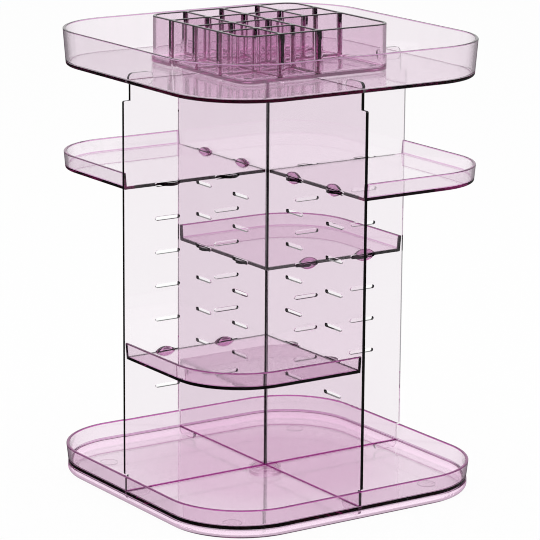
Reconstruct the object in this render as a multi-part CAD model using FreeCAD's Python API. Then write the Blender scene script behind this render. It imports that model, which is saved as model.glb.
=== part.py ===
# Rotating makeup organizer in tinted clear plastic, on a square base of 222 mm and 308 mm tall.
# A dished foot stands on the table. A base tray turns on it, over a small ball bearing and a pivot screw.
# Two slotted panels lap into a cross, stand on the base tray and carry the top tray on their tongues.
# Four quarter shelves hook into rows of slots in the panels, and a divided box stands in the top tray.
# Millimetres, +Z up, origin on the table under the turning axis. X and Y run along the two panels.
import FreeCAD, Part
import math
import os

from FreeCAD import Vector

# General
cut_overrun = 6.0  # how far a cutting body runs past the face that it opens
same_point = 1e-6  # points closer than this count as one
edge_tolerance = 0.01  # edges this close to a plane lie in it
axis_x = Vector(1, 0, 0)
axis_z = Vector(0, 0, 1)
origin = Vector(0, 0, 0)

# Trays
tray_width = 221.6  # both trays, across their rims
tray_corner = 52.0  # corner radius at the rims
tray_floor = 2.0
tray_wall = 2.0
tray_inner_round = 1.5  # where the wall meets the floor inside
tray_rim_round = 0.7  # both edges of the rim
base_tray_wall_height = 11.0  # above its floor
base_tray_draft = 1.5  # how far the wall leans out from bottom to rim
base_tray_edge_round = 0.8  # lower outer edge
top_tray_wall_height = 22.0  # above its floor
top_tray_draft = 1.9
top_tray_edge_round = 1.6

# Foot
foot_inset = 1.0  # its side stands this far inside the rim of the base tray
foot_floor = 1.5
foot_wall = 2.0
foot_edge_round = 3.6  # lower outer edge
foot_inner_round = 2.4
foot_running_gap = 0.4  # under the turning tray
pad_diameter = 12.0
pad_height = 1.2
pad_proud = 0.6  # below the foot
pad_glue_gap = 0.1  # around a pad in its recess
pad_edge_distance = 33.8  # from the sides of the foot to the centre of a pad

# Ball bearing
ball_diameter = 3.0
ball_count = 10
ball_circle_diameter = 17.0
race_boss_margin = 0.1  # round boss on the floor of the foot, beyond the cage above it
race_boss_height = 2.1
race_depth = 0.35  # groove in the boss, and in the tray above
race_clearance = 0.15  # around a ball in its groove
cage_width = 4.4
cage_thickness = 1.0
cage_clearance = 0.2  # around a ball in its pocket

# Pivot
dome_cage_gap = 0.3  # from the raised middle of the foot to the cage around it
dome_wall = 1.2
dome_running_gap = 0.6  # under the turning tray
stub_diameter = 5.0  # pin under the tray that turns in the dome
stub_clearance = 0.08
stub_proud = 0.1  # end play under the dome
washer_dome_gap = 0.3  # around the washer, inside the dome
washer_thickness = 0.6
screw_diameter = 2.5
screw_length = 3.4
screw_fit = 0.04  # around the screw in its hole
screw_hole_spare = 0.2  # depth of the hole past the point
screw_point_length = 0.8
screw_head_diameter = 5.6
screw_head_height = 1.6
screw_head_round = 0.9
screw_socket_width = 0.9  # cross recess of the head
screw_socket_span = 3.2
screw_socket_depth = 0.7

# Panels
panel_height = 266.4  # from the floor of the base tray to the underside of the top tray
panel_thickness = 2.2
panel_setback = 1.5  # outer edge inside the rims of the trays
panel_wall_gap = 0.3  # lower corner to the wall of the base tray
panel_rim_gap = 0.3  # step of the edge above the rim of the base tray
panel_head_inset = 4.8  # upper corners inside the outer edge
panel_lap_clearance = 0.1  # each side, where the panels lap
panel_slot_clearance = 0.15  # each side, in the slots of the trays
panel_step_round = 1.0
tongue_width = 18.0
tongue_floor_gap = 0.6  # lower tongues above the floor of the foot
tongue_round = 3.4
slot_row_count = 7
slot_row_pitch = 22.0
slot_length = 18.0
slot_clearance = 0.3  # above and below the floor of a shelf
slot_column_distances = (32.0, 77.0)  # from the turning axis to the slot centres

# Shelves
shelf_inset = 1.6  # rim inside the rims of the trays
shelf_corner = 46.0  # corner radius at the rim
shelf_height = 11.0
shelf_floor = 2.0
shelf_wall = 2.0
shelf_draft = 1.0
shelf_edge_round = 0.8  # lower outer edge
shelf_rim_round = 0.7  # both edges of the rim
shelf_panel_gap = 0.4  # straight edges to the faces of the panels
tab_width = 12.0
tab_reach = 3.6  # beyond the far face of a panel
tab_end_gap = 0.8  # from a tab to the inner end of its slot
ear_width = 16.0  # lens-shaped stop at the root of a tab
ear_height = 8.0
ear_thickness = 2.4
ear_round = 1.0  # edge of the stop, on the side of the shelf
ear_shifts = {"near": 2.8, "far": 2.8, "left": -4.2, "right": -4.2}  # outwards from the middle of a slot
shelf_row_counts = {"near": 1, "far": 3, "left": 6, "right": 6}  # rows of slots below each shelf
quadrant_turns = {"far": 0, "left": 90, "near": 180, "right": 270}  # degrees about the turning axis

# Lipstick box
box_width = 114.5
box_height = 30.3
box_corner = 11.5
box_wall = 2.0
box_floor = 1.5
box_foot_height = 0.5  # four round feet under the floor
box_foot_diameter = 5.0
box_foot_distance = 10.0  # from the sides of the box to the centre of a foot
box_edge_round = 0.5
box_rim_round = 0.5  # upper edges of the walls and dividers
box_divider = 1.8
box_cells_per_side = 4
box_cell_corner = 2.6
box_cell_floor_round = 2.5
box_large_cells = 2  # cells on each side of the undivided corner

# Heights, worked out from the table upwards
foot_bottom = pad_proud
foot_floor_top = foot_bottom + foot_floor
ball_gap = ball_diameter + 2 * race_clearance - 2 * race_depth
under_tray_gap = race_boss_height + ball_gap
base_tray_bottom = foot_floor_top + under_tray_gap
base_tray_floor_top = base_tray_bottom + tray_floor
ball_centre_height = base_tray_bottom - ball_gap / 2
panel_top = base_tray_floor_top + panel_height
panel_middle = base_tray_floor_top + panel_height / 2
top_tray_floor_top = panel_top + tray_floor
box_bottom = top_tray_floor_top + box_foot_height
box_rim = top_tray_floor_top + box_height

# Widths, worked out from the trays inwards
tray_half = tray_width / 2
base_tray_bottom_half = tray_half - base_tray_draft
foot_half = tray_half - foot_inset
foot_corner = tray_corner - foot_inset
panel_wide_half = tray_half - panel_setback
panel_base_half = base_tray_bottom_half - tray_wall - panel_wall_gap
panel_head_half = panel_wide_half - panel_head_inset
panel_step_height = base_tray_wall_height + panel_rim_gap
tongue_length = tray_floor + under_tray_gap - tongue_floor_gap
slot_height = shelf_floor + 2 * slot_clearance
shelf_half = tray_half - shelf_inset
shelf_edge = panel_thickness / 2 + shelf_panel_gap

# Widths of the bearing and the pivot, worked out from the circle of the balls
cage_outer_diameter = ball_circle_diameter + cage_width
cage_inner_diameter = ball_circle_diameter - cage_width
race_boss_diameter = cage_outer_diameter + 2 * race_boss_margin
dome_diameter = cage_inner_diameter - 2 * dome_cage_gap
dome_inner_diameter = dome_diameter - 2 * dome_wall
washer_diameter = dome_inner_diameter - 2 * washer_dome_gap


def rounded_outline(corners, height):
    """Closed wire at one height, through corners given as x, y and corner radius."""
    places = [Vector(x, y, height) for x, y, radius in corners]
    spans = []
    for index, (x, y, radius) in enumerate(corners):
        corner = places[index]
        back = (places[index - 1] - corner).normalize()
        ahead = (places[(index + 1) % len(places)] - corner).normalize()
        half_angle = back.getAngle(ahead) / 2
        reach = radius / math.tan(half_angle)
        middle = corner + (back + ahead).normalize() * (radius / math.sin(half_angle) - radius)
        spans.append((corner + back * reach, middle, corner + ahead * reach))
    edges = []
    for index, (start, middle, end) in enumerate(spans):
        if corners[index][2] > 0:
            edges.append(Part.Arc(start, middle, end).toShape())
        following = spans[(index + 1) % len(spans)][0]
        if not end.isEqual(following, same_point):
            edges.append(Part.LineSegment(end, following).toShape())
    return Part.Wire(edges)


def prism(corners, bottom, top):
    """Upright block over a rounded outline."""
    return Part.Face(rounded_outline(corners, bottom)).extrude(axis_z * (top - bottom))


def drafted_block(lower_corners, bottom, upper_corners, top):
    """Block whose sides lean from one rounded outline to another above it."""
    wires = [rounded_outline(lower_corners, bottom), rounded_outline(upper_corners, top)]
    return Part.makeLoft(wires, True, True)


def square(half, corner):
    """Corners of a square with round corners about the turning axis."""
    return [(half, half, corner), (-half, half, corner), (-half, -half, corner), (half, -half, corner)]


def disc(diameter, bottom, top):
    """Upright cylinder on the turning axis."""
    return Part.makeCylinder(diameter / 2, top - bottom, axis_z * bottom)


def bottom_edges(solid):
    """The edges that lie in the lowest plane of a solid."""
    bottom = solid.BoundBox.ZMin
    return [edge for edge in solid.Edges if edge.BoundBox.Center.z - bottom < edge_tolerance]


def round_bottom(solid, radius):
    """The solid with its lowest ring of edges rounded."""
    return solid.makeFillet(radius, bottom_edges(solid))


def top_edges(solid):
    """The edges that lie in the highest plane of a solid."""
    top = solid.BoundBox.ZMax
    return [edge for edge in solid.Edges if top - edge.BoundBox.Center.z < edge_tolerance]


def drafted_tray(bottom, wall_height, draft, edge_round):
    """Square tray with a leaning wall of even thickness and a flat floor."""
    lean = draft / (tray_floor + wall_height)
    floor_top = bottom + tray_floor
    rim = floor_top + wall_height

    def outline_at(height, inset):
        shift = lean * (rim - height) + inset
        return square(tray_half - shift, tray_corner - shift)

    above = rim + cut_overrun
    body = drafted_block(outline_at(bottom, 0), bottom, outline_at(rim, 0), rim)
    hollow = drafted_block(outline_at(floor_top, tray_wall), floor_top, outline_at(above, tray_wall), above)
    tray = round_bottom(body, edge_round).cut(round_bottom(hollow, tray_inner_round))
    return tray.makeFillet(tray_rim_round, top_edges(tray))


def tongue_slots(floor_top, tongue_end):
    """Cutters for the four slots in a tray floor that take the tongues of the panels."""
    low = tongue_end - tongue_width - panel_slot_clearance
    high = tongue_end + panel_slot_clearance
    side = panel_thickness / 2 + panel_slot_clearance
    corners = [(low, -side, 0), (high, -side, 0), (high, side, 0), (low, side, 0)]
    cutter = prism(corners, floor_top - tray_floor - cut_overrun, floor_top + cut_overrun)
    return [cutter.rotated(origin, axis_z, turn) for turn in quadrant_turns.values()]


def race_groove():
    """Ring that cuts the grooves for the balls in the boss of the foot and in the base tray."""
    radius = ball_diameter / 2 + race_clearance
    return Part.makeTorus(ball_circle_diameter / 2, radius, axis_z * ball_centre_height)


def ball_places():
    """Centres of the balls around the bearing."""
    first = Vector(ball_circle_diameter / 2, 0, ball_centre_height)
    turn = FreeCAD.Rotation(axis_z, 360 / ball_count)
    places = [first]
    for index in range(1, ball_count):
        places.append(turn.multVec(places[-1]))
    return places


def pad_places():
    """Centre of each pad on the underside of the foot, by quadrant."""
    reach = foot_half - pad_edge_distance
    corner = Vector(reach, reach, 0)
    return {name: FreeCAD.Rotation(axis_z, turn).multVec(corner) for name, turn in quadrant_turns.items()}


# Pivot heights, from the tray down to the screw head
dome_top = base_tray_bottom - dome_running_gap
dome_ceiling = dome_top - dome_wall
stub_end = dome_ceiling - stub_proud
washer_bottom = stub_end - washer_thickness
screw_tip = washer_bottom + screw_length


def base_foot():
    """Dished foot with a grooved boss for the balls and a raised middle for the pivot."""
    wall_top = base_tray_bottom - foot_running_gap
    dish = round_bottom(prism(square(foot_half, foot_corner), foot_bottom, wall_top), foot_edge_round)
    inner = square(foot_half - foot_wall, foot_corner - foot_wall)
    hollow = round_bottom(prism(inner, foot_floor_top, wall_top + cut_overrun), foot_inner_round)
    boss = disc(race_boss_diameter, foot_bottom, foot_floor_top + race_boss_height)
    foot = dish.cut(hollow).fuse([boss, disc(dome_diameter, foot_bottom, dome_top)])
    cutters = [
        disc(dome_inner_diameter, foot_bottom - cut_overrun, dome_ceiling),
        disc(stub_diameter + 2 * stub_clearance, foot_bottom, dome_top + cut_overrun),
        race_groove(),
    ]
    for place in pad_places().values():
        cutters.append(Part.makeCylinder(pad_diameter / 2 + pad_glue_gap, pad_height + pad_glue_gap, place))
    return foot.cut(cutters).removeSplitter()


def foot_pad(place):
    """Soft pad set into the underside of the foot."""
    return Part.makeCylinder(pad_diameter / 2, pad_height, place)


def bearing_balls():
    """All the balls of the bearing, as separate solids."""
    return Part.makeCompound([Part.makeSphere(ball_diameter / 2, place) for place in ball_places()])


def ball_cage():
    """Flat ring that keeps the balls apart."""
    bottom = ball_centre_height - cage_thickness / 2
    top = ball_centre_height + cage_thickness / 2
    ring = disc(cage_outer_diameter, bottom, top)
    cutters = [disc(cage_inner_diameter, bottom - cut_overrun, top + cut_overrun)]
    pocket_radius = ball_diameter / 2 + cage_clearance
    for place in ball_places():
        start = place - axis_z * cut_overrun
        cutters.append(Part.makeCylinder(pocket_radius, 2 * cut_overrun, start))
    return ring.cut(cutters)


def base_tray():
    """Turning tray with a pivot stub under its floor and slots for the lower tongues."""
    tray = drafted_tray(base_tray_bottom, base_tray_wall_height, base_tray_draft, base_tray_edge_round)
    tray = tray.fuse(disc(stub_diameter, stub_end, base_tray_bottom + tray_floor / 2))
    hole_top = screw_tip + screw_hole_spare
    cutters = [race_groove(), disc(screw_diameter + 2 * screw_fit, stub_end - cut_overrun, hole_top)]
    return tray.cut(cutters + tongue_slots(base_tray_floor_top, panel_base_half)).removeSplitter()


def pivot_washer():
    """Washer that holds the stub up against the underside of the dome."""
    hole = disc(screw_diameter + 2 * screw_fit, washer_bottom - cut_overrun, stub_end + cut_overrun)
    return disc(washer_diameter, washer_bottom, stub_end).cut(hole)


def pivot_screw():
    """Round-headed screw with a cross recess, driven up into the stub."""
    head_bottom = washer_bottom - screw_head_height
    shank_top = screw_tip - screw_point_length
    head = round_bottom(disc(screw_head_diameter, head_bottom, washer_bottom), screw_head_round)
    shank = disc(screw_diameter, washer_bottom, shank_top)
    point = Part.makeCone(screw_diameter / 2, 0, screw_point_length, axis_z * shank_top)
    screw = head.fuse([shank, point])
    for long_side, short_side in (
        (screw_socket_span / 2, screw_socket_width / 2),
        (screw_socket_width / 2, screw_socket_span / 2),
    ):
        corners = [(long_side, short_side, 0), (-long_side, short_side, 0)]
        corners += [(-x, -y, radius) for x, y, radius in corners]
        screw = screw.cut(prism(corners, head_bottom - cut_overrun, head_bottom + screw_socket_depth))
    return screw.removeSplitter()


def slot_row_height(row):
    """Middle height of a row of slots, counted from the bottom."""
    return panel_middle + (row - (slot_row_count - 1) / 2) * slot_row_pitch


def panel_end_outline(narrow_half):
    """Corners of the upper right end of a panel, with heights measured from its middle."""
    shoulder = panel_height / 2
    step = shoulder - panel_step_height
    tip = shoulder + tongue_length
    return [
        (panel_wide_half, step, panel_step_round),
        (narrow_half, step, 0),
        (narrow_half, tip, tongue_round),
        (narrow_half - tongue_width, tip, tongue_round),
        (narrow_half - tongue_width, shoulder, 0),
    ]


def divider_panel(lap_side):
    """Slotted panel along X, cut from its top (1) or bottom (-1) half way for the one that crosses it."""
    right = [(x, -y, radius) for x, y, radius in reversed(panel_end_outline(panel_base_half))]
    right += panel_end_outline(panel_head_half)
    left = [(-x, y, radius) for x, y, radius in reversed(right)]
    plate = prism(right + left, -panel_thickness / 2, panel_thickness / 2)
    half_length = slot_length / 2
    half_height = slot_height / 2
    slot = [(half_length, half_height, half_height), (-half_length, half_height, half_height)]
    slot += [(-x, -y, radius) for x, y, radius in slot]
    cutters = []
    for row in range(slot_row_count):
        height = slot_row_height(row) - panel_middle
        for distance in slot_column_distances:
            for side in (distance, -distance):
                corners = [(x + side, y + height, radius) for x, y, radius in slot]
                cutters.append(prism(corners, -panel_thickness, panel_thickness))
    lap_half = panel_thickness / 2 + panel_lap_clearance
    lap_end = panel_height / 2 + cut_overrun
    lap = [(lap_half, -panel_lap_clearance * lap_side, 0), (lap_half, lap_end * lap_side, 0)]
    lap += [(-x, y, radius) for x, y, radius in reversed(lap)]
    cutters.append(prism(lap, -panel_thickness, panel_thickness))
    panel = plate.cut(cutters).rotated(origin, axis_x, 90)
    return panel.translated(axis_z * panel_middle)


def shelf_outline(height, bottom, inset):
    """Corners of a quarter shelf at one height: two straight edges and a round outer side."""
    shift = shelf_draft * (1 - (height - bottom) / shelf_height) + inset
    half = shelf_half - shift
    outer_side = [(half, shelf_edge, 0), (half, half, shelf_corner - shift), (shelf_edge, half, 0)]
    return outer_side + [(shelf_edge, shelf_edge, 0)]


def shelf_hook(distance, middle, ear_shift):
    """Tongue that goes through a slot of the panel along X, with the lens-shaped stop beside its root."""
    low = middle - shelf_floor / 2
    high = middle + shelf_floor / 2
    half = tab_width / 2
    root = shelf_edge + ear_thickness
    tip = -panel_thickness / 2 - tab_reach
    centre = distance - slot_length / 2 + tab_end_gap + half
    right = [(centre + half, root, 0), (centre + half, tip, half)]
    left = [(centre - half, tip, half), (centre - half, root, 0)]
    tongue = prism(right + left, low, high)
    bulge = ear_height / 2
    ear_centre = distance + ear_shift
    ends = [Vector(ear_centre + side * ear_width / 2, shelf_edge, middle) for side in (-1, 1)]
    crown = Vector(ear_centre, shelf_edge, middle + bulge)
    keel = Vector(ear_centre, shelf_edge, middle - bulge)
    arcs = [Part.Arc(ends[0], crown, ends[1]), Part.Arc(ends[1], keel, ends[0])]
    rim = Part.Wire([arc.toShape() for arc in arcs])
    ear = Part.Face(rim).extrude(Vector(0, ear_thickness, 0))
    front = [edge for edge in ear.Edges if edge.BoundBox.YMin > shelf_edge + ear_thickness - edge_tolerance]
    return tongue, ear.makeFillet(ear_round, front)


def shelf(quadrant):
    """Quarter tray that hooks into the slots of the two panels beside it, with stops along one of them."""
    middle = slot_row_height(shelf_row_counts[quadrant])
    bottom = middle - shelf_floor / 2
    floor_top = bottom + shelf_floor
    rim = bottom + shelf_height
    above = rim + cut_overrun
    body = drafted_block(shelf_outline(bottom, bottom, 0), bottom, shelf_outline(rim, bottom, 0), rim)
    body = body.makeFillet(shelf_edge_round, outer_side(bottom_edges(body)))
    hollow_low = open_sides(shelf_outline(floor_top, bottom, shelf_wall))
    hollow_high = open_sides(shelf_outline(above, bottom, shelf_wall))
    tray = body.cut(drafted_block(hollow_low, floor_top, hollow_high, above))
    tray = tray.makeFillet(shelf_rim_round, outer_side(top_edges(tray)))
    across_diagonal = Vector(1, -1, 0)
    hooks = []
    for distance in slot_column_distances:
        tongue, ear = shelf_hook(distance, middle, ear_shifts[quadrant])
        hooks += [tongue, ear, tongue.mirror(origin, across_diagonal)]
    return tray.fuse(hooks).removeSplitter().rotated(origin, axis_z, quadrant_turns[quadrant])


def outer_side(edges):
    """Those edges of a quarter shelf that don't lie along the panels."""
    nearest = shelf_edge + edge_tolerance
    return [edge for edge in edges if min(edge.BoundBox.XMax, edge.BoundBox.YMax) > nearest]


def open_sides(corners):
    """The shelf outline carried past its straight edges, so that the hollow is open towards the panels."""
    beyond = shelf_edge - cut_overrun

    def past_edge(place):
        return beyond if place == shelf_edge else place

    return [(past_edge(x), past_edge(y), radius) for x, y, radius in corners]


def top_tray():
    """Deep tray that sits on the shoulders of the panels, with the tongues through its floor."""
    tray = drafted_tray(panel_top, top_tray_wall_height, top_tray_draft, top_tray_edge_round)
    return tray.cut(tongue_slots(top_tray_floor_top, panel_head_half))


def box_cell(first_column, last_column, first_row, last_row):
    """Hollow of one compartment, over the given columns and rows of the grid."""
    bottom = box_bottom + box_floor
    top = box_rim + cut_overrun
    inner_half = box_width / 2 - box_wall
    pitch = (2 * inner_half + box_divider) / box_cells_per_side
    low_x, low_y = (-inner_half + index * pitch for index in (first_column, first_row))
    high_x, high_y = (-inner_half + (index + 1) * pitch - box_divider for index in (last_column, last_row))

    def corner(x, y):
        at_outer_corner = abs(x) > inner_half - box_divider and abs(y) > inner_half - box_divider
        return (x, y, box_corner - box_wall if at_outer_corner else box_cell_corner)

    corners = [corner(high_x, high_y), corner(low_x, high_y), corner(low_x, low_y), corner(high_x, low_y)]
    return round_bottom(prism(corners, bottom, top), box_cell_floor_round)


def lipstick_box():
    """Box with a grid of compartments and one large one in the corner at +X and -Y."""
    body = prism(square(box_width / 2, box_corner), box_bottom, box_rim)
    last = box_cells_per_side - 1
    first_large = box_cells_per_side - box_large_cells
    cells = [box_cell(first_large, last, 0, box_large_cells - 1)]
    for column in range(box_cells_per_side):
        for row in range(box_cells_per_side):
            if column < first_large or row >= box_large_cells:
                cells.append(box_cell(column, column, row, row))
    box = round_bottom(body, box_edge_round).cut(cells)
    box = box.makeFillet(box_rim_round, top_edges(box))
    reach = box_width / 2 - box_foot_distance
    foot = disc(box_foot_diameter, top_tray_floor_top, box_bottom).translated(Vector(reach, reach, 0))
    return box.fuse([foot.rotated(origin, axis_z, turn) for turn in quadrant_turns.values()])


# Every piece of the organizer, by name
pieces = {
    "base_foot": base_foot(),
    "ball_cage": ball_cage(),
    "bearing_balls": bearing_balls(),
    "base_tray": base_tray(),
    "pivot_washer": pivot_washer(),
    "pivot_screw": pivot_screw(),
    "divider_panel_x": divider_panel(1),
    "divider_panel_y": divider_panel(-1).rotated(origin, axis_z, 90),
    "top_tray": top_tray(),
    "lipstick_box": lipstick_box(),
}
for quadrant, place in pad_places().items():
    pieces["foot_pad_" + quadrant] = foot_pad(place)
for quadrant in shelf_row_counts:
    pieces["shelf_" + quadrant] = shelf(quadrant)

os.makedirs("parts", exist_ok=True)
for name, shape in pieces.items():
    shape.exportStep("parts/" + name + ".step")
    state = "valid" if shape.isValid() else "not valid"
    print(name, state, len(shape.Solids), "solids", round(shape.Volume), "mm3")
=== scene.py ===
import bpy
import math
from mathutils import Matrix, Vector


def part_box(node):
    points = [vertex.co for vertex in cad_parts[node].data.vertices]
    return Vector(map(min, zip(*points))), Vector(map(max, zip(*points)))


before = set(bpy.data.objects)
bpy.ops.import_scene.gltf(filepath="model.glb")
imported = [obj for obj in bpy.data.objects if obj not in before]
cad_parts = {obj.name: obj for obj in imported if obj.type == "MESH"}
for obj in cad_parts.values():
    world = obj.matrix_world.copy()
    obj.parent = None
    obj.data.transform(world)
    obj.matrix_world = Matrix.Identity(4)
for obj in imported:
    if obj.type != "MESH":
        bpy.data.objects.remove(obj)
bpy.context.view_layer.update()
scene = bpy.context.scene

# Foot
# The real foot is a shallow dish that stands on the table under the turning tray.
# It is injection moulded in clear plastic with a purple-pink tint and left glossy from the tool.
tint_loss_per_metre = (38.0, 92.0, 52.0)  # red, green and blue light lost along a metre of the plastic
plastic_refraction = 1.49
clear = (1.0, 1.0, 1.0, 1.0)
# Colour of the purple lines of painted shade
purple = (0.2, 0.02, 0.15, 1.0)
no_glow = (0.0, 0.0, 0.0, 1.0)
foot_side_middle = 0.0035
foot_side_reach = 0.0035
# Painted glow along the side of the dish
foot_side_painted_glow = (0.1, 0.06, 0.09, 1.0)  # light that runs inside the dish and leaves at its side
hub_radius = 0.0108  # of the boss under the balls
hub_top = 0.0078  # inside the floor of the tray above
hub_fade = 0.0004  # soft border of the frosting
hub_line = (0.0004, 0.0003)  # half the width of the purple line of painted shade, and where it is full
upright_facing = (0.5, 0.3)  # vertical part of the normal, from where a face counts as a wall
tilted_facing = (0.98, 0.9)  # the same, from where it no longer counts as flat


def new_group(name, given, results):
    """Empty shader node group with its sockets. Each given socket has a name, a type and a value."""
    group = bpy.data.node_groups.new(name, "ShaderNodeTree")
    for label, kind, value in given:
        group.interface.new_socket(label, in_out="INPUT", socket_type=kind).default_value = value
    for label, kind in results:
        group.interface.new_socket(label, in_out="OUTPUT", socket_type=kind)
    return group, group.nodes.new("NodeGroupInput").outputs, group.nodes.new("NodeGroupOutput").inputs


def feed(tree, value, socket):
    """Sets an input to a plain number or colour, or links it to another socket."""
    if isinstance(value, (float, tuple)):
        socket.default_value = value
    else:
        tree.links.new(value, socket)


def set_values(node, values):
    """Sets inputs of a node, each named by its label in small letters with underscores."""
    for name, value in values.items():
        node.inputs[name.replace("_", " ").title()].default_value = value


def calc(tree, operation, *values):
    """One step of arithmetic on sockets or plain numbers."""
    step = tree.nodes.new("ShaderNodeMath")
    step.operation = operation
    for socket, value in zip(step.inputs, values):
        feed(tree, value, socket)
    return step.outputs["Value"]


def ramp(tree, value, start, end, low=0.0, high=1.0):
    """Low where the value is at the start or before it, high at the end or past it."""
    step = tree.nodes.new("ShaderNodeMapRange")
    labels = ("Value", "From Min", "From Max", "To Min", "To Max")
    for label, given in zip(labels, (value, start, end, low, high)):
        feed(tree, given, step.inputs[label])
    return step.outputs["Result"]


def mixed_color(tree, factor, first, second):
    """The first colour, going over to the second as the factor rises."""
    step = tree.nodes.new("ShaderNodeMix")
    step.data_type = "RGBA"
    for label, given in (("Factor", factor), ("A", first), ("B", second)):
        feed(tree, given, step.inputs[label])
    return step.outputs["Result"]


def axes_of(tree, socket):
    """The three parts of a vector."""
    step = tree.nodes.new("ShaderNodeSeparateXYZ")
    tree.links.new(socket, step.inputs["Vector"])
    return step.outputs


def off_axis_of(tree, place):
    """Distance of a place from the turning axis."""
    squares = [calc(tree, "MULTIPLY", place[axis], place[axis]) for axis in ("X", "Y")]
    return calc(tree, "SQRT", calc(tree, "ADD", *squares))


def noise(tree, place, scale, detail, distortion):
    """Smooth noise of a given fineness over the piece."""
    step = tree.nodes.new("ShaderNodeTexNoise")
    step.inputs["Detail"].default_value = detail
    step.inputs["Distortion"].default_value = distortion
    tree.links.new(place, step.inputs["Vector"])
    tree.links.new(scale, step.inputs["Scale"])
    return step.outputs["Fac"]


def moulded_skin_group():
    """Faint flow of a moulded skin: a pale tint, the gloss and a ripple, all uneven over the surface."""
    group, given, result = new_group("moulded_skin", (
        ("Flow Scale", "NodeSocketFloat", 18.0),
        ("Ripple Scale", "NodeSocketFloat", 140.0),
        ("Gloss Low", "NodeSocketFloat", 0.004),
        ("Gloss High", "NodeSocketFloat", 0.02),
        ("Pale Tint", "NodeSocketColor", clear),
        ("Deep Tint", "NodeSocketColor", (0.985, 0.965, 0.98, 1.0)),
    ), (("Color", "NodeSocketColor"), ("Roughness", "NodeSocketFloat"), ("Height", "NodeSocketFloat")))
    place = group.nodes.new("ShaderNodeTexCoord").outputs["Object"]
    flow = noise(group, place, given["Flow Scale"], detail=3.0, distortion=1.2)
    ripple = noise(group, place, given["Ripple Scale"], detail=4.0, distortion=0.0)
    gloss = ramp(group, ripple, 0.0, 1.0, given["Gloss Low"], given["Gloss High"])
    group.links.new(mixed_color(group, flow, given["Pale Tint"], given["Deep Tint"]), result["Color"])
    group.links.new(gloss, result["Roughness"])
    group.links.new(flow, result["Height"])
    return group


moulded_skin = moulded_skin_group()


def tinted_plastic(name, tint_depth, refraction=plastic_refraction, ripple_height=0.00002, **skin_values):
    """Clear tinted plastic. Its colour is the light lost inside, so it deepens with every wall in line."""
    material = bpy.data.materials.new(name)
    material.use_nodes = True
    nodes, link = material.node_tree.nodes, material.node_tree.links.new
    skin = nodes.new("ShaderNodeGroup")
    skin.node_tree = moulded_skin
    set_values(skin, skin_values)
    ripple = nodes.new("ShaderNodeBump")
    ripple.inputs["Distance"].default_value = ripple_height
    surface = nodes["Principled BSDF"]
    surface.inputs["Transmission Weight"].default_value = 1.0
    surface.inputs["IOR"].default_value = refraction
    link(skin.outputs["Color"], surface.inputs["Base Color"])
    link(skin.outputs["Roughness"], surface.inputs["Roughness"])
    link(skin.outputs["Height"], ripple.inputs["Height"])
    link(ripple.outputs["Normal"], surface.inputs["Normal"])
    inside = nodes.new("ShaderNodeVolumeAbsorption")
    most = max(tint_loss_per_metre)
    kept = [1.0 - loss / most for loss in tint_loss_per_metre]
    inside.inputs["Color"].default_value = (*kept, 1.0)
    inside.inputs["Density"].default_value = most * tint_depth
    link(inside.outputs["Volume"], nodes["Material Output"].inputs["Volume"])
    return material


def dress(material, *names):
    """Gives the named pieces their finish."""
    for name in names:
        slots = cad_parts[name].data.materials
        slots.clear()
        slots.append(material)


def lay_over(material, group, glows=False, **values):
    """Lays a group over the base colour and roughness of a plastic, and over its glow if asked."""
    nodes, link = material.node_tree.nodes, material.node_tree.links.new
    surface = nodes["Principled BSDF"]
    layer = nodes.new("ShaderNodeGroup")
    layer.node_tree = group
    set_values(layer, values)
    layered = [("Base Color", "Face Color", "Color"), ("Roughness", "Face Roughness", "Roughness")]
    if glows:
        layered.append(("Emission Color", "Face Glow", "Glow"))
        surface.inputs["Emission Strength"].default_value = 1.0
    for target, under, over in layered:
        if over in layer.outputs:
            if surface.inputs[target].is_linked:
                link(surface.inputs[target].links[0].from_socket, layer.inputs[under])
            link(layer.outputs[over], surface.inputs[target])


def hub_group():
    """Round middle under the tray: frosted all over with a painted glow, and a purple line of painted shade
    up the side of its boss.
    """
    group, given, result = new_group("hub", (
        ("Face Color", "NodeSocketColor", clear),
        ("Side Color", "NodeSocketColor", purple),
        ("Face Roughness", "NodeSocketFloat", 0.0),
        ("Frost Roughness", "NodeSocketFloat", 0.45),
        ("Face Glow", "NodeSocketColor", no_glow),
        ("Frost Glow", "NodeSocketColor", (0.09, 0.06, 0.08, 1.0)),
    ), (("Color", "NodeSocketColor"), ("Roughness", "NodeSocketFloat"), ("Glow", "NodeSocketColor")))
    texture = group.nodes.new("ShaderNodeTexCoord").outputs
    facing, place = axes_of(group, texture["Normal"]), axes_of(group, texture["Object"])
    off_axis = off_axis_of(group, place)
    under = ramp(group, place["Z"], hub_top, hub_top - hub_fade)
    within = ramp(group, off_axis, hub_radius + 2 * hub_fade, hub_radius + hub_fade)
    frosted = calc(group, "MULTIPLY", under, within)
    upright = ramp(group, calc(group, "ABSOLUTE", facing["Z"]), *upright_facing)
    off_side = calc(group, "ABSOLUTE", calc(group, "SUBTRACT", off_axis, hub_radius))
    side = calc(group, "MULTIPLY", upright, ramp(group, off_side, *hub_line))
    group.links.new(mixed_color(group, side, given["Face Color"], given["Side Color"]), result["Color"])
    group.links.new(mixed_color(group, frosted, given["Face Glow"], given["Frost Glow"]), result["Glow"])
    matt = ramp(group, frosted, 0.0, 1.0, given["Face Roughness"], given["Frost Roughness"])
    group.links.new(matt, result["Roughness"])
    return group


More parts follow.
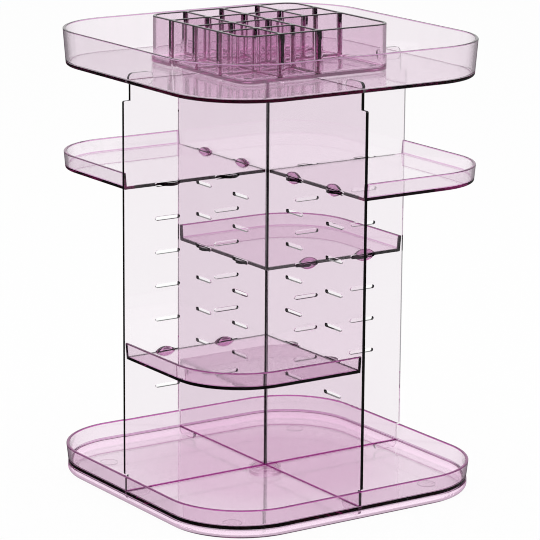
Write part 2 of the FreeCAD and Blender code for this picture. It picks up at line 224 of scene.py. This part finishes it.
def band_group():
    """Level band of painted shade and painted glow round a piece at a given height, on all its faces there
    or on the tilted ones alone.
    """
    group, given, result = new_group("band", (
        ("Height", "NodeSocketFloat", 0.0),
        ("Reach", "NodeSocketFloat", 0.0009),
        ("Flat Too", "NodeSocketFloat", 1.0),
        ("Face Color", "NodeSocketColor", clear),
        ("Band Color", "NodeSocketColor", purple),
        ("Face Glow", "NodeSocketColor", no_glow),
        ("Band Glow", "NodeSocketColor", no_glow),
    ), (("Color", "NodeSocketColor"), ("Glow", "NodeSocketColor")))
    texture = group.nodes.new("ShaderNodeTexCoord").outputs
    facing, place = axes_of(group, texture["Normal"]), axes_of(group, texture["Object"])
    off_level = calc(group, "ABSOLUTE", calc(group, "SUBTRACT", place["Z"], given["Height"]))
    level = ramp(group, calc(group, "DIVIDE", off_level, given["Reach"]), 1.0, 0.6)
    tilted = ramp(group, calc(group, "ABSOLUTE", facing["Z"]), *tilted_facing)
    banded = calc(group, "MULTIPLY", level, calc(group, "MAXIMUM", tilted, given["Flat Too"]))
    group.links.new(mixed_color(group, banded, given["Face Color"], given["Band Color"]), result["Color"])
    group.links.new(mixed_color(group, banded, given["Face Glow"], given["Band Glow"]), result["Glow"])
    return group


band = band_group()
hub = hub_group()
foot_plastic = tinted_plastic("foot_plastic", tint_depth=0.5)
# Painted glow on the frosted hub and a purple line of painted shade up its boss, then a painted glow at the
# dish's side
lay_over(foot_plastic, hub, glows=True)
lay_over(
    foot_plastic, band, glows=True, height=foot_side_middle, reach=foot_side_reach, flat_too=0.0,
    band_color=clear, band_glow=foot_side_painted_glow,
)
dress(foot_plastic, "base_foot")

# Pads
# Four clear silicone discs are stuck under the corners of the foot so that it grips the table.
# They are die cut from soft clear sheet, so they hardly show, and have fine pits.
pads = tinted_plastic(
    "pad_silicone", tint_depth=0.1, refraction=1.2, ripple_height=0.00004,
    ripple_scale=900.0, gloss_low=0.02, gloss_high=0.08,
)
dress(pads, "foot_pad_near", "foot_pad_far", "foot_pad_left", "foot_pad_right")

# Ball bearing and pivot
# A ring of clear beads rolls in a flat cage between foot and tray. A clear screw and washer hold the stub.
# They are moulded with hardly any tint and packed in clear grease, which nearly hides them.
greased_refraction = 1.04  # of the plastic against the grease around it
bearing = tinted_plastic("bearing_plastic", tint_depth=0.15, refraction=greased_refraction)
dress(bearing, "ball_cage", "bearing_balls", "pivot_washer", "pivot_screw")

# Base tray
# The turning tray is moulded in one piece with a low wall, the slots for the panels and a stub below.
# It is the same tinted plastic as the foot, with painted shade that makes the middle of the floor darker
# than at the walls.
# Its rim and inner corner are painted with purple lines of shade, the rim with a painted glow too, and its
# lower edge is almost black.
base_bottom = 0.0068
tray_floor = 0.002
corner_rise = 0.0003  # of the corner line over the floor
corner_reach = 0.0005
# Painted glows and a paler painted shade for the lines at rims and corners
purple_painted_glow = (0.055, 0.004, 0.04, 1.0)  # light that runs inside the walls and leaves at a rim
base_rim_painted_glow = (0.12, 0.008, 0.088, 1.0)
pale_purple = (0.5, 0.22, 0.45, 1.0)


def tray_lines(material, bottom, rim, corner_color, rim_color, rim_glow):
    """Lines of painted shade along the inner corner of a tray and at its rim, the rim with a painted glow
    where one is given.
    """
    corner = bottom + tray_floor + corner_rise
    lay_over(material, band, height=corner, reach=corner_reach, flat_too=0.0, band_color=corner_color)
    lay_over(
        material, band, glows=rim_glow != no_glow, height=rim, band_color=rim_color, band_glow=rim_glow,
    )


def painted_shade_middle_group():
    """Painted shade: the floor is darker at the middle and fades to clear towards the walls."""
    group, given, result = new_group("shaded_middle", (
        ("Deep Radius", "NodeSocketFloat", 0.06),
        ("Pale Radius", "NodeSocketFloat", 0.1),
        ("Face Color", "NodeSocketColor", clear),
        ("Middle Color", "NodeSocketColor", (0.92, 0.82, 0.89, 1.0)),
    ), (("Color", "NodeSocketColor"),))
    place = axes_of(group, group.nodes.new("ShaderNodeTexCoord").outputs["Object"])
    deep = ramp(group, off_axis_of(group, place), given["Pale Radius"], given["Deep Radius"])
    group.links.new(mixed_color(group, deep, given["Face Color"], given["Middle Color"]), result["Color"])
    return group


base_plastic = tinted_plastic("base_tray_plastic", tint_depth=0.8)
# Painted shade on the middle of the floor
lay_over(base_plastic, painted_shade_middle_group())
# Painted glow on the frosted hub and a purple line of painted shade up its boss
lay_over(base_plastic, hub, glows=True)
tray_lines(base_plastic, base_bottom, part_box("base_tray")[1][2], pale_purple, purple, base_rim_painted_glow)
dress(base_plastic, "base_tray")

# Panels
# Two sheets with seven rows of slots lap into a cross, with tongues into the base and top trays.
# They are cut from clear sheet, the one along X paler than the other.
# Their edges are painted almost black as shade and are matt where they lap; a painted shadow runs beside
# the lap, and a purple line of painted shade and glow where they stand.
# Near black of the edges and lines painted as shade
dark = (0.002, 0.0003, 0.0015, 1.0)
sawn_gloss = 0.55
cut_facing = (0.8, 0.5)  # part of the normal along the sheet's axis, from where a face counts as cut
lap_reach = 0.004  # from the turning axis
lap_shadow = 0.0016  # just past the sheet on the other side
lap_shadow_fade = 0.0002


def painted_edge_shade_group():
    """Cut edges of a sheet, all the faces that don't look along its axis, painted dark as shade and matt at
    the lap, with a painted shadow on the faces just beside the lap.
    """
    group, given, result = new_group("cut_edge_shade", (
        ("Sheet Axis", "NodeSocketVector", (0.0, 1.0, 0.0)),
        ("Face Color", "NodeSocketColor", clear),
        ("Edge Color", "NodeSocketColor", dark),
        ("Face Roughness", "NodeSocketFloat", 0.0),
        ("Edge Roughness", "NodeSocketFloat", sawn_gloss),
    ), (("Color", "NodeSocketColor"), ("Roughness", "NodeSocketFloat")))
    texture = group.nodes.new("ShaderNodeTexCoord").outputs
    along = group.nodes.new("ShaderNodeVectorMath")
    along.operation = "DOT_PRODUCT"
    group.links.new(texture["Normal"], along.inputs[0])
    group.links.new(given["Sheet Axis"], along.inputs[1])
    cut = ramp(group, calc(group, "ABSOLUTE", along.outputs["Value"]), *cut_facing)
    place = axes_of(group, texture["Object"])
    across, forth = [calc(group, "ABSOLUTE", place[axis]) for axis in ("X", "Y")]
    off_axis = calc(group, "MAXIMUM", across, forth)
    lapped = calc(group, "MULTIPLY", cut, ramp(group, off_axis, lap_reach, lap_reach / 2))
    shaded = ramp(group, off_axis, lap_shadow, lap_shadow - lap_shadow_fade)
    dimmed = calc(group, "MAXIMUM", cut, shaded)
    group.links.new(mixed_color(group, dimmed, given["Face Color"], given["Edge Color"]), result["Color"])
    matt = ramp(group, lapped, 0.0, 1.0, given["Face Roughness"], given["Edge Roughness"])
    group.links.new(matt, result["Roughness"])
    return group


cut_edge_shade = painted_edge_shade_group()
for panel, sheet_axis, depth in (
    ("divider_panel_x", (0.0, 1.0, 0.0), 0.23), ("divider_panel_y", (1.0, 0.0, 0.0), 0.74),
):
    sheet = tinted_plastic(panel + "_sheet", depth)
    # Painted shade on the edges and beside the lap, and a purple line of painted shade and glow where the
    # sheet stands in the base tray
    lay_over(sheet, cut_edge_shade, sheet_axis=sheet_axis)
    lay_over(
        sheet, band, glows=True, height=base_bottom + tray_floor, band_color=purple, band_glow=purple_painted_glow,
    )
    dress(sheet, panel)

# Shelves
# Four quarter trays hang in the slots by two flat tabs on each straight edge, at any row.
# They are moulded in the tinted plastic, open towards the panels, with lens-shaped stops beside the tabs.
# Their straight edges are painted almost black as shade, their wall ends, rims and inner corners carry
# lines of painted shade, the rims a painted glow too, and the stops are purple.
# paler_purple is a paler painted shade for the corner lines and some wall ends
paler_purple = (0.78, 0.55, 0.74, 1.0)
stop_color = (0.72, 0.45, 0.66, 1.0)
shelf_wall_start = (0.1, 0.102)  # from the panels, along the straight edges
shelf_floor_half = (0.0013, 0.0011)  # up or down from the middle of the floor
shelf_edge_width = (0.003, 0.0027)  # from the middle of the panels
shelf_stop_width = (0.0042, 0.0041)
# Side in X, side in Y and middle of the floor
shelf_sides = {
    "near": (-1.0, -1.0, 0.098), "far": (1.0, 1.0, 0.142),
    "left": (-1.0, 1.0, 0.208), "right": (1.0, -1.0, 0.208),
}
# Depth of tint, colour of the painted shade at the rim and colour of the painted shade at the wall ends
shelf_looks = {
    "near": (0.95, purple, dark), "far": (1.05, purple, dark),
    "left": (0.4, pale_purple, paler_purple), "right": (0.4, pale_purple, paler_purple),
}


def open_side_group():
    """Straight edges of a quarter shelf, painted dark as shade, and the tabs and stops on them, by their
    place.
    """
    group, given, result = new_group("open_side", (
        ("X Side", "NodeSocketFloat", 1.0),
        ("Y Side", "NodeSocketFloat", 1.0),
        ("Floor Middle", "NodeSocketFloat", 0.0),
        ("Face Color", "NodeSocketColor", clear),
        ("Edge Color", "NodeSocketColor", dark),
        ("Wall End Color", "NodeSocketColor", dark),
        ("Stop Color", "NodeSocketColor", stop_color),
    ), (("Color", "NodeSocketColor"),))
    place = axes_of(group, group.nodes.new("ShaderNodeTexCoord").outputs["Object"])
    out_x = calc(group, "MULTIPLY", place["X"], given["X Side"])
    out_y = calc(group, "MULTIPLY", place["Y"], given["Y Side"])
    inward = calc(group, "MINIMUM", out_x, out_y)
    outward = calc(group, "MAXIMUM", out_x, out_y)
    rise = calc(group, "ABSOLUTE", calc(group, "SUBTRACT", place["Z"], given["Floor Middle"]))
    wall = ramp(group, outward, *shelf_wall_start)
    floor_or_wall = calc(group, "MAXIMUM", wall, ramp(group, rise, *shelf_floor_half))
    edge = calc(group, "MULTIPLY", ramp(group, inward, *shelf_edge_width), floor_or_wall)
    off_floor = calc(group, "SUBTRACT", 1.0, floor_or_wall)
    stop = calc(group, "MULTIPLY", ramp(group, inward, *shelf_stop_width), off_floor)
    stopped = mixed_color(group, stop, given["Face Color"], given["Stop Color"])
    edge_color = mixed_color(group, wall, given["Edge Color"], given["Wall End Color"])
    group.links.new(mixed_color(group, edge, stopped, edge_color), result["Color"])
    return group


open_side = open_side_group()
for quadrant, (x_side, y_side, floor_middle) in shelf_sides.items():
    shelf = "shelf_" + quadrant
    depth, rim_color, wall_end_color = shelf_looks[quadrant]
    shelf_plastic = tinted_plastic(shelf + "_plastic", depth)
    shelf_bottom = floor_middle - tray_floor / 2
    # Painted shade lines at the inner corner and rim, the rim with a painted glow, and painted dark
    # straight edges
    tray_lines(shelf_plastic, shelf_bottom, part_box(shelf)[1][2], paler_purple, rim_color, purple_painted_glow)
    lay_over(
        shelf_plastic, open_side, x_side=x_side, y_side=y_side, floor_middle=floor_middle,
        wall_end_color=wall_end_color,
    )
    dress(shelf_plastic, shelf)

# Top tray
# A tray with a higher leaning wall sits on the panels, with their tongues up through its floor.
# It is moulded in one piece in a paler run of the tinted plastic.
top_refraction = 1.4  # a softer plastic than the rest
top_plastic = tinted_plastic(
    "top_tray_plastic", tint_depth=0.35, refraction=top_refraction, gloss_low=0.02, gloss_high=0.06,
)
top_bottom, top_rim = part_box("top_tray")[0][2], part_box("top_tray")[1][2]
# Painted shade: a pale purple line at the rim
tray_lines(top_plastic, top_bottom, top_rim, clear, pale_purple, no_glow)
dress(top_plastic, "top_tray")

# Lipstick box
# A loose box stands in the top tray on four small feet, divided into twelve small cells and a large one.
# It is moulded in one piece; its rim and the corners of its cells are painted with dark lines of shade, and
# the sides of its floor with a painted glow.
box_outer_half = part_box("lipstick_box")[1][0]
box_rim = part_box("lipstick_box")[1][2]
box_floor_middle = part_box("lipstick_box")[0][2] + 0.00125
box_cell_pitch = 0.028075
box_rim_reach = 0.001
box_floor_reach = 0.0016
# Painted glow at the sides of the floor
box_floor_painted_glow = (0.16, 0.09, 0.14, 1.0)  # the floor gathers light too and gives it off at its sides
outer_face_depth = (0.0006, 0.0004)  # in from the outer faces
outer_corner_width = (0.011, 0.0115)  # in from the outer faces, past the round of the corner
large_cell_start = (0.02, 0.022)  # from the middle, towards +X and towards -Y
divider_line_half = (0.0013, 0.0011)
divider_line_length = (0.024, 0.018)  # down from the rim
crossing_slant = (0.3, 0.4)  # product of the normal's parts along X and Y, on the rounds of a cell
crossing_length = (0.008, 0.006)  # down from the rim


def cell_shade_lines_group():
    """Upright lines of painted shade: on the outside where a divider joins, and at the tops where dividers
    cross.
    """
    group, given, result = new_group("cell_corner_shade", (
        ("Rim Height", "NodeSocketFloat", 0.0),
        ("Face Color", "NodeSocketColor", clear),
        ("Corner Color", "NodeSocketColor", dark),
    ), (("Color", "NodeSocketColor"),))
    texture = group.nodes.new("ShaderNodeTexCoord").outputs
    facing, place = axes_of(group, texture["Normal"]), axes_of(group, texture["Object"])
    below_rim = calc(group, "SUBTRACT", given["Rim Height"], place["Z"])
    across, along = calc(group, "ABSOLUTE", place["X"]), calc(group, "ABSOLUTE", place["Y"])
    inner = calc(group, "MINIMUM", across, along)
    outer = calc(group, "MAXIMUM", across, along)
    off_divider = calc(group, "PINGPONG", inner, box_cell_pitch / 2)
    outside = ramp(group, outer, *(box_outer_half - depth for depth in outer_face_depth))
    large_x = ramp(group, place["X"], *large_cell_start)
    large_y = ramp(group, calc(group, "MULTIPLY", place["Y"], -1.0), *large_cell_start)
    off_large_cell = calc(group, "SUBTRACT", 1.0, calc(group, "MULTIPLY", large_x, large_y))
    joined = calc(group, "MULTIPLY", outside, off_large_cell)
    length = ramp(group, below_rim, *divider_line_length)
    line = calc(group, "MULTIPLY", ramp(group, off_divider, *divider_line_half), length)
    slant = calc(group, "ABSOLUTE", calc(group, "MULTIPLY", facing["X"], facing["Y"]))
    off_corner = ramp(group, inner, *(box_outer_half - width for width in outer_corner_width))
    crossing = calc(group, "MULTIPLY", ramp(group, slant, *crossing_slant), off_corner)
    top = calc(group, "MULTIPLY", crossing, ramp(group, below_rim, *crossing_length))
    lines = calc(group, "MAXIMUM", calc(group, "MULTIPLY", line, joined), top)
    group.links.new(mixed_color(group, lines, given["Face Color"], given["Corner Color"]), result["Color"])
    return group


box_plastic = tinted_plastic("box_plastic", tint_depth=0.85)
# Painted shade lines at the cell corners and the rim, and a painted glow at the sides of the floor
lay_over(box_plastic, cell_shade_lines_group(), rim_height=box_rim)
lay_over(box_plastic, band, height=box_rim, reach=box_rim_reach, band_color=dark)
lay_over(
    box_plastic, band, glows=True, height=box_floor_middle, reach=box_floor_reach, flat_too=0.0,
    band_color=clear, band_glow=box_floor_painted_glow,
)
dress(box_plastic, "lipstick_box")

# Table top and studio
# A plain white table top runs into a white room, with one wide soft lamp above.
# Seen straight on or through the plastic both are white. Mirrored in it, the table is painted dim, and
# painted dimmer still on its left, a painted shade seen only in reflections, where a studio would lay a
# dark cloth.
table_white_share = 0.96  # the rest is lit paint, which keeps the shadow
mirrored_white_share = 0.4  # after a reflection inside the plastic, on the way out of it
table_color = (0.93, 0.93, 0.93, 1.0)
table_mirrored_color = (0.15, 0.15, 0.15, 1.0)
left_mirrored_shade = (0.05, 0.05, 0.05, 1.0)
left_shade_border = 0.1  # soft border of the painted shade on the left, on both sides of the line that runs off to the far right
table_size = 40.0
table_drop = 0.0002  # under the pads
room_light = 0.6
lamp_power = 12.0
lamp_size = 1.6
lamp_height = 1.6

bpy.ops.mesh.primitive_plane_add(size=table_size, location=(0.0, 0.0, -table_drop))
table = bpy.context.object
table.name = "table_top"
paint = bpy.data.materials.new("table_paint")
paint.use_nodes = True
paint_tree = paint.node_tree
path = paint_tree.nodes.new("ShaderNodeLightPath").outputs
seen = calc(paint_tree, "MAXIMUM", path["Is Camera Ray"], path["Is Transmission Ray"])
mirrored = calc(paint_tree, "MINIMUM", path["Glossy Depth"], 1.0)
white_lost = mirrored_white_share - table_white_share
white_part = calc(paint_tree, "MULTIPLY_ADD", mirrored, white_lost, table_white_share)
share = calc(paint_tree, "MULTIPLY", seen, white_part)
spot = axes_of(paint_tree, paint_tree.nodes.new("ShaderNodeTexCoord").outputs["Object"])
# Painted shade in reflections, darker on the left of the table
leftward = calc(paint_tree, "SUBTRACT", spot["Y"], spot["X"])
left_shaded = ramp(paint_tree, leftward, -left_shade_border, left_shade_border)
mirrored_color = mixed_color(paint_tree, left_shaded, table_mirrored_color, left_mirrored_shade)
lit = paint_tree.nodes["Principled BSDF"]
lit.inputs["Roughness"].default_value = 1.0
lit.inputs["Specular IOR Level"].default_value = 0.0
lit_color = mixed_color(paint_tree, mirrored, table_color, mirrored_color)
paint_tree.links.new(lit_color, lit.inputs["Base Color"])
white = paint_tree.nodes.new("ShaderNodeEmission")
blend = paint_tree.nodes.new("ShaderNodeMixShader")
for result, target in (
    (share, blend.inputs["Fac"]), (lit.outputs["BSDF"], blend.inputs[1]),
    (white.outputs["Emission"], blend.inputs[2]),
    (blend.outputs["Shader"], paint_tree.nodes["Material Output"].inputs["Surface"]),
):
    paint_tree.links.new(result, target)
table.data.materials.append(paint)

room = bpy.data.worlds.new("white_room")
scene.world = room
room.use_nodes = True
room_tree = room.node_tree
room_path = room_tree.nodes.new("ShaderNodeLightPath").outputs
room_seen = calc(room_tree, "MAXIMUM", room_path["Is Camera Ray"], room_path["Is Transmission Ray"])
room_shown = calc(room_tree, "MAXIMUM", room_seen, room_path["Is Glossy Ray"])
room_white = room_tree.nodes["Background"]
room_white.inputs["Color"].default_value = (1.0, 1.0, 1.0, 1.0)
room_tree.links.new(calc(room_tree, "MAXIMUM", room_shown, room_light), room_white.inputs["Strength"])

lamp_data = bpy.data.lights.new("soft_lamp", "AREA")
lamp_data.energy = lamp_power
lamp_data.size = lamp_size
lamp = bpy.data.objects.new("soft_lamp", lamp_data)
lamp.location = (0.0, 0.0, lamp_height)
lamp.visible_glossy = False
scene.collection.objects.link(lamp)

# Camera
# It stands in front of the corner between two panels and looks a little down on the organizer.
# Its place and lens are those of a camera fitted to the photograph, a square frame of 540 pixels.
camera_place = (-1.025889, -1.530292, 0.579232)
camera_turn = -0.591597  # about the upright, from straight along +Y
camera_tilt = -0.233155  # down from level
camera_roll = 0.0076546
focal_pixels = 2891.73
frame_pixels = 540.0
sensor_width = 36.0

camera_data = bpy.data.cameras.new("camera")
camera_data.sensor_width = sensor_width
camera_data.lens = sensor_width * focal_pixels / frame_pixels
camera = bpy.data.objects.new("camera", camera_data)
camera.matrix_world = (
    Matrix.Translation(camera_place) @ Matrix.Rotation(camera_turn, 4, "Z")
    @ Matrix.Rotation(math.pi / 2 + camera_tilt, 4, "X") @ Matrix.Rotation(camera_roll, 4, "Z")
)
scene.collection.objects.link(camera)
scene.camera = camera
scene.view_settings.view_transform = "Standard"
scene.cycles.filter_width = 1.0
scene.cycles.max_bounces = 48
scene.cycles.transmission_bounces = 48
scene.cycles.glossy_bounces = 24
